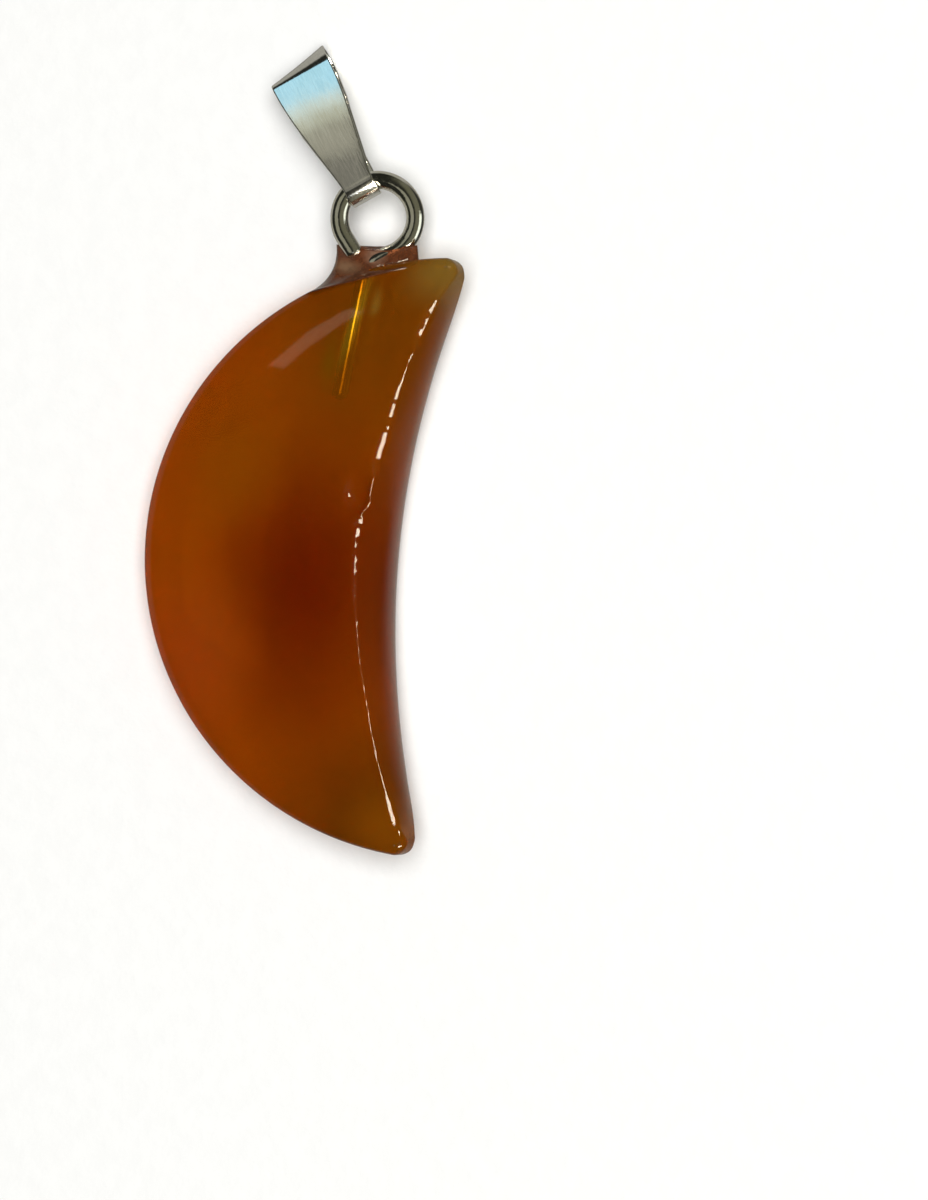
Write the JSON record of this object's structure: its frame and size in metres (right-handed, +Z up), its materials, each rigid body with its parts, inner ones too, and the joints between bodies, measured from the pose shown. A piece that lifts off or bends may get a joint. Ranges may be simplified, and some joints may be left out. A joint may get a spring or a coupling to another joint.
{
  "type": "moon pendant",
  "caption": "Polished stone crescent moon pendant with a wire eye glued into its rim and a folded ribbon bail for a chain.",
  "frame": {"origin": "middle of the overall box at floor level, with the pendant lying on its back", "axes": "+Z up from the floor, +Y from the lower horn towards the bail, +X towards the crescent's hollow side"},
  "size_m": [0.0158, 0.0412, 0.006],
  "materials": {
    "agate": "polished, slightly translucent red-brown agate",
    "polished_wire": "polished plated wire",
    "clear_glue": "clear glossy resin",
    "brushed_ribbon": "plated sheet with faint brushing along the strip"
  },
  "bodies": {
    "root": {"moon_stone": "agate", "wire_eye": "polished_wire", "glue_collar": "clear_glue", "ribbon_bail": "brushed_ribbon"}
  },
  "joints": []
}
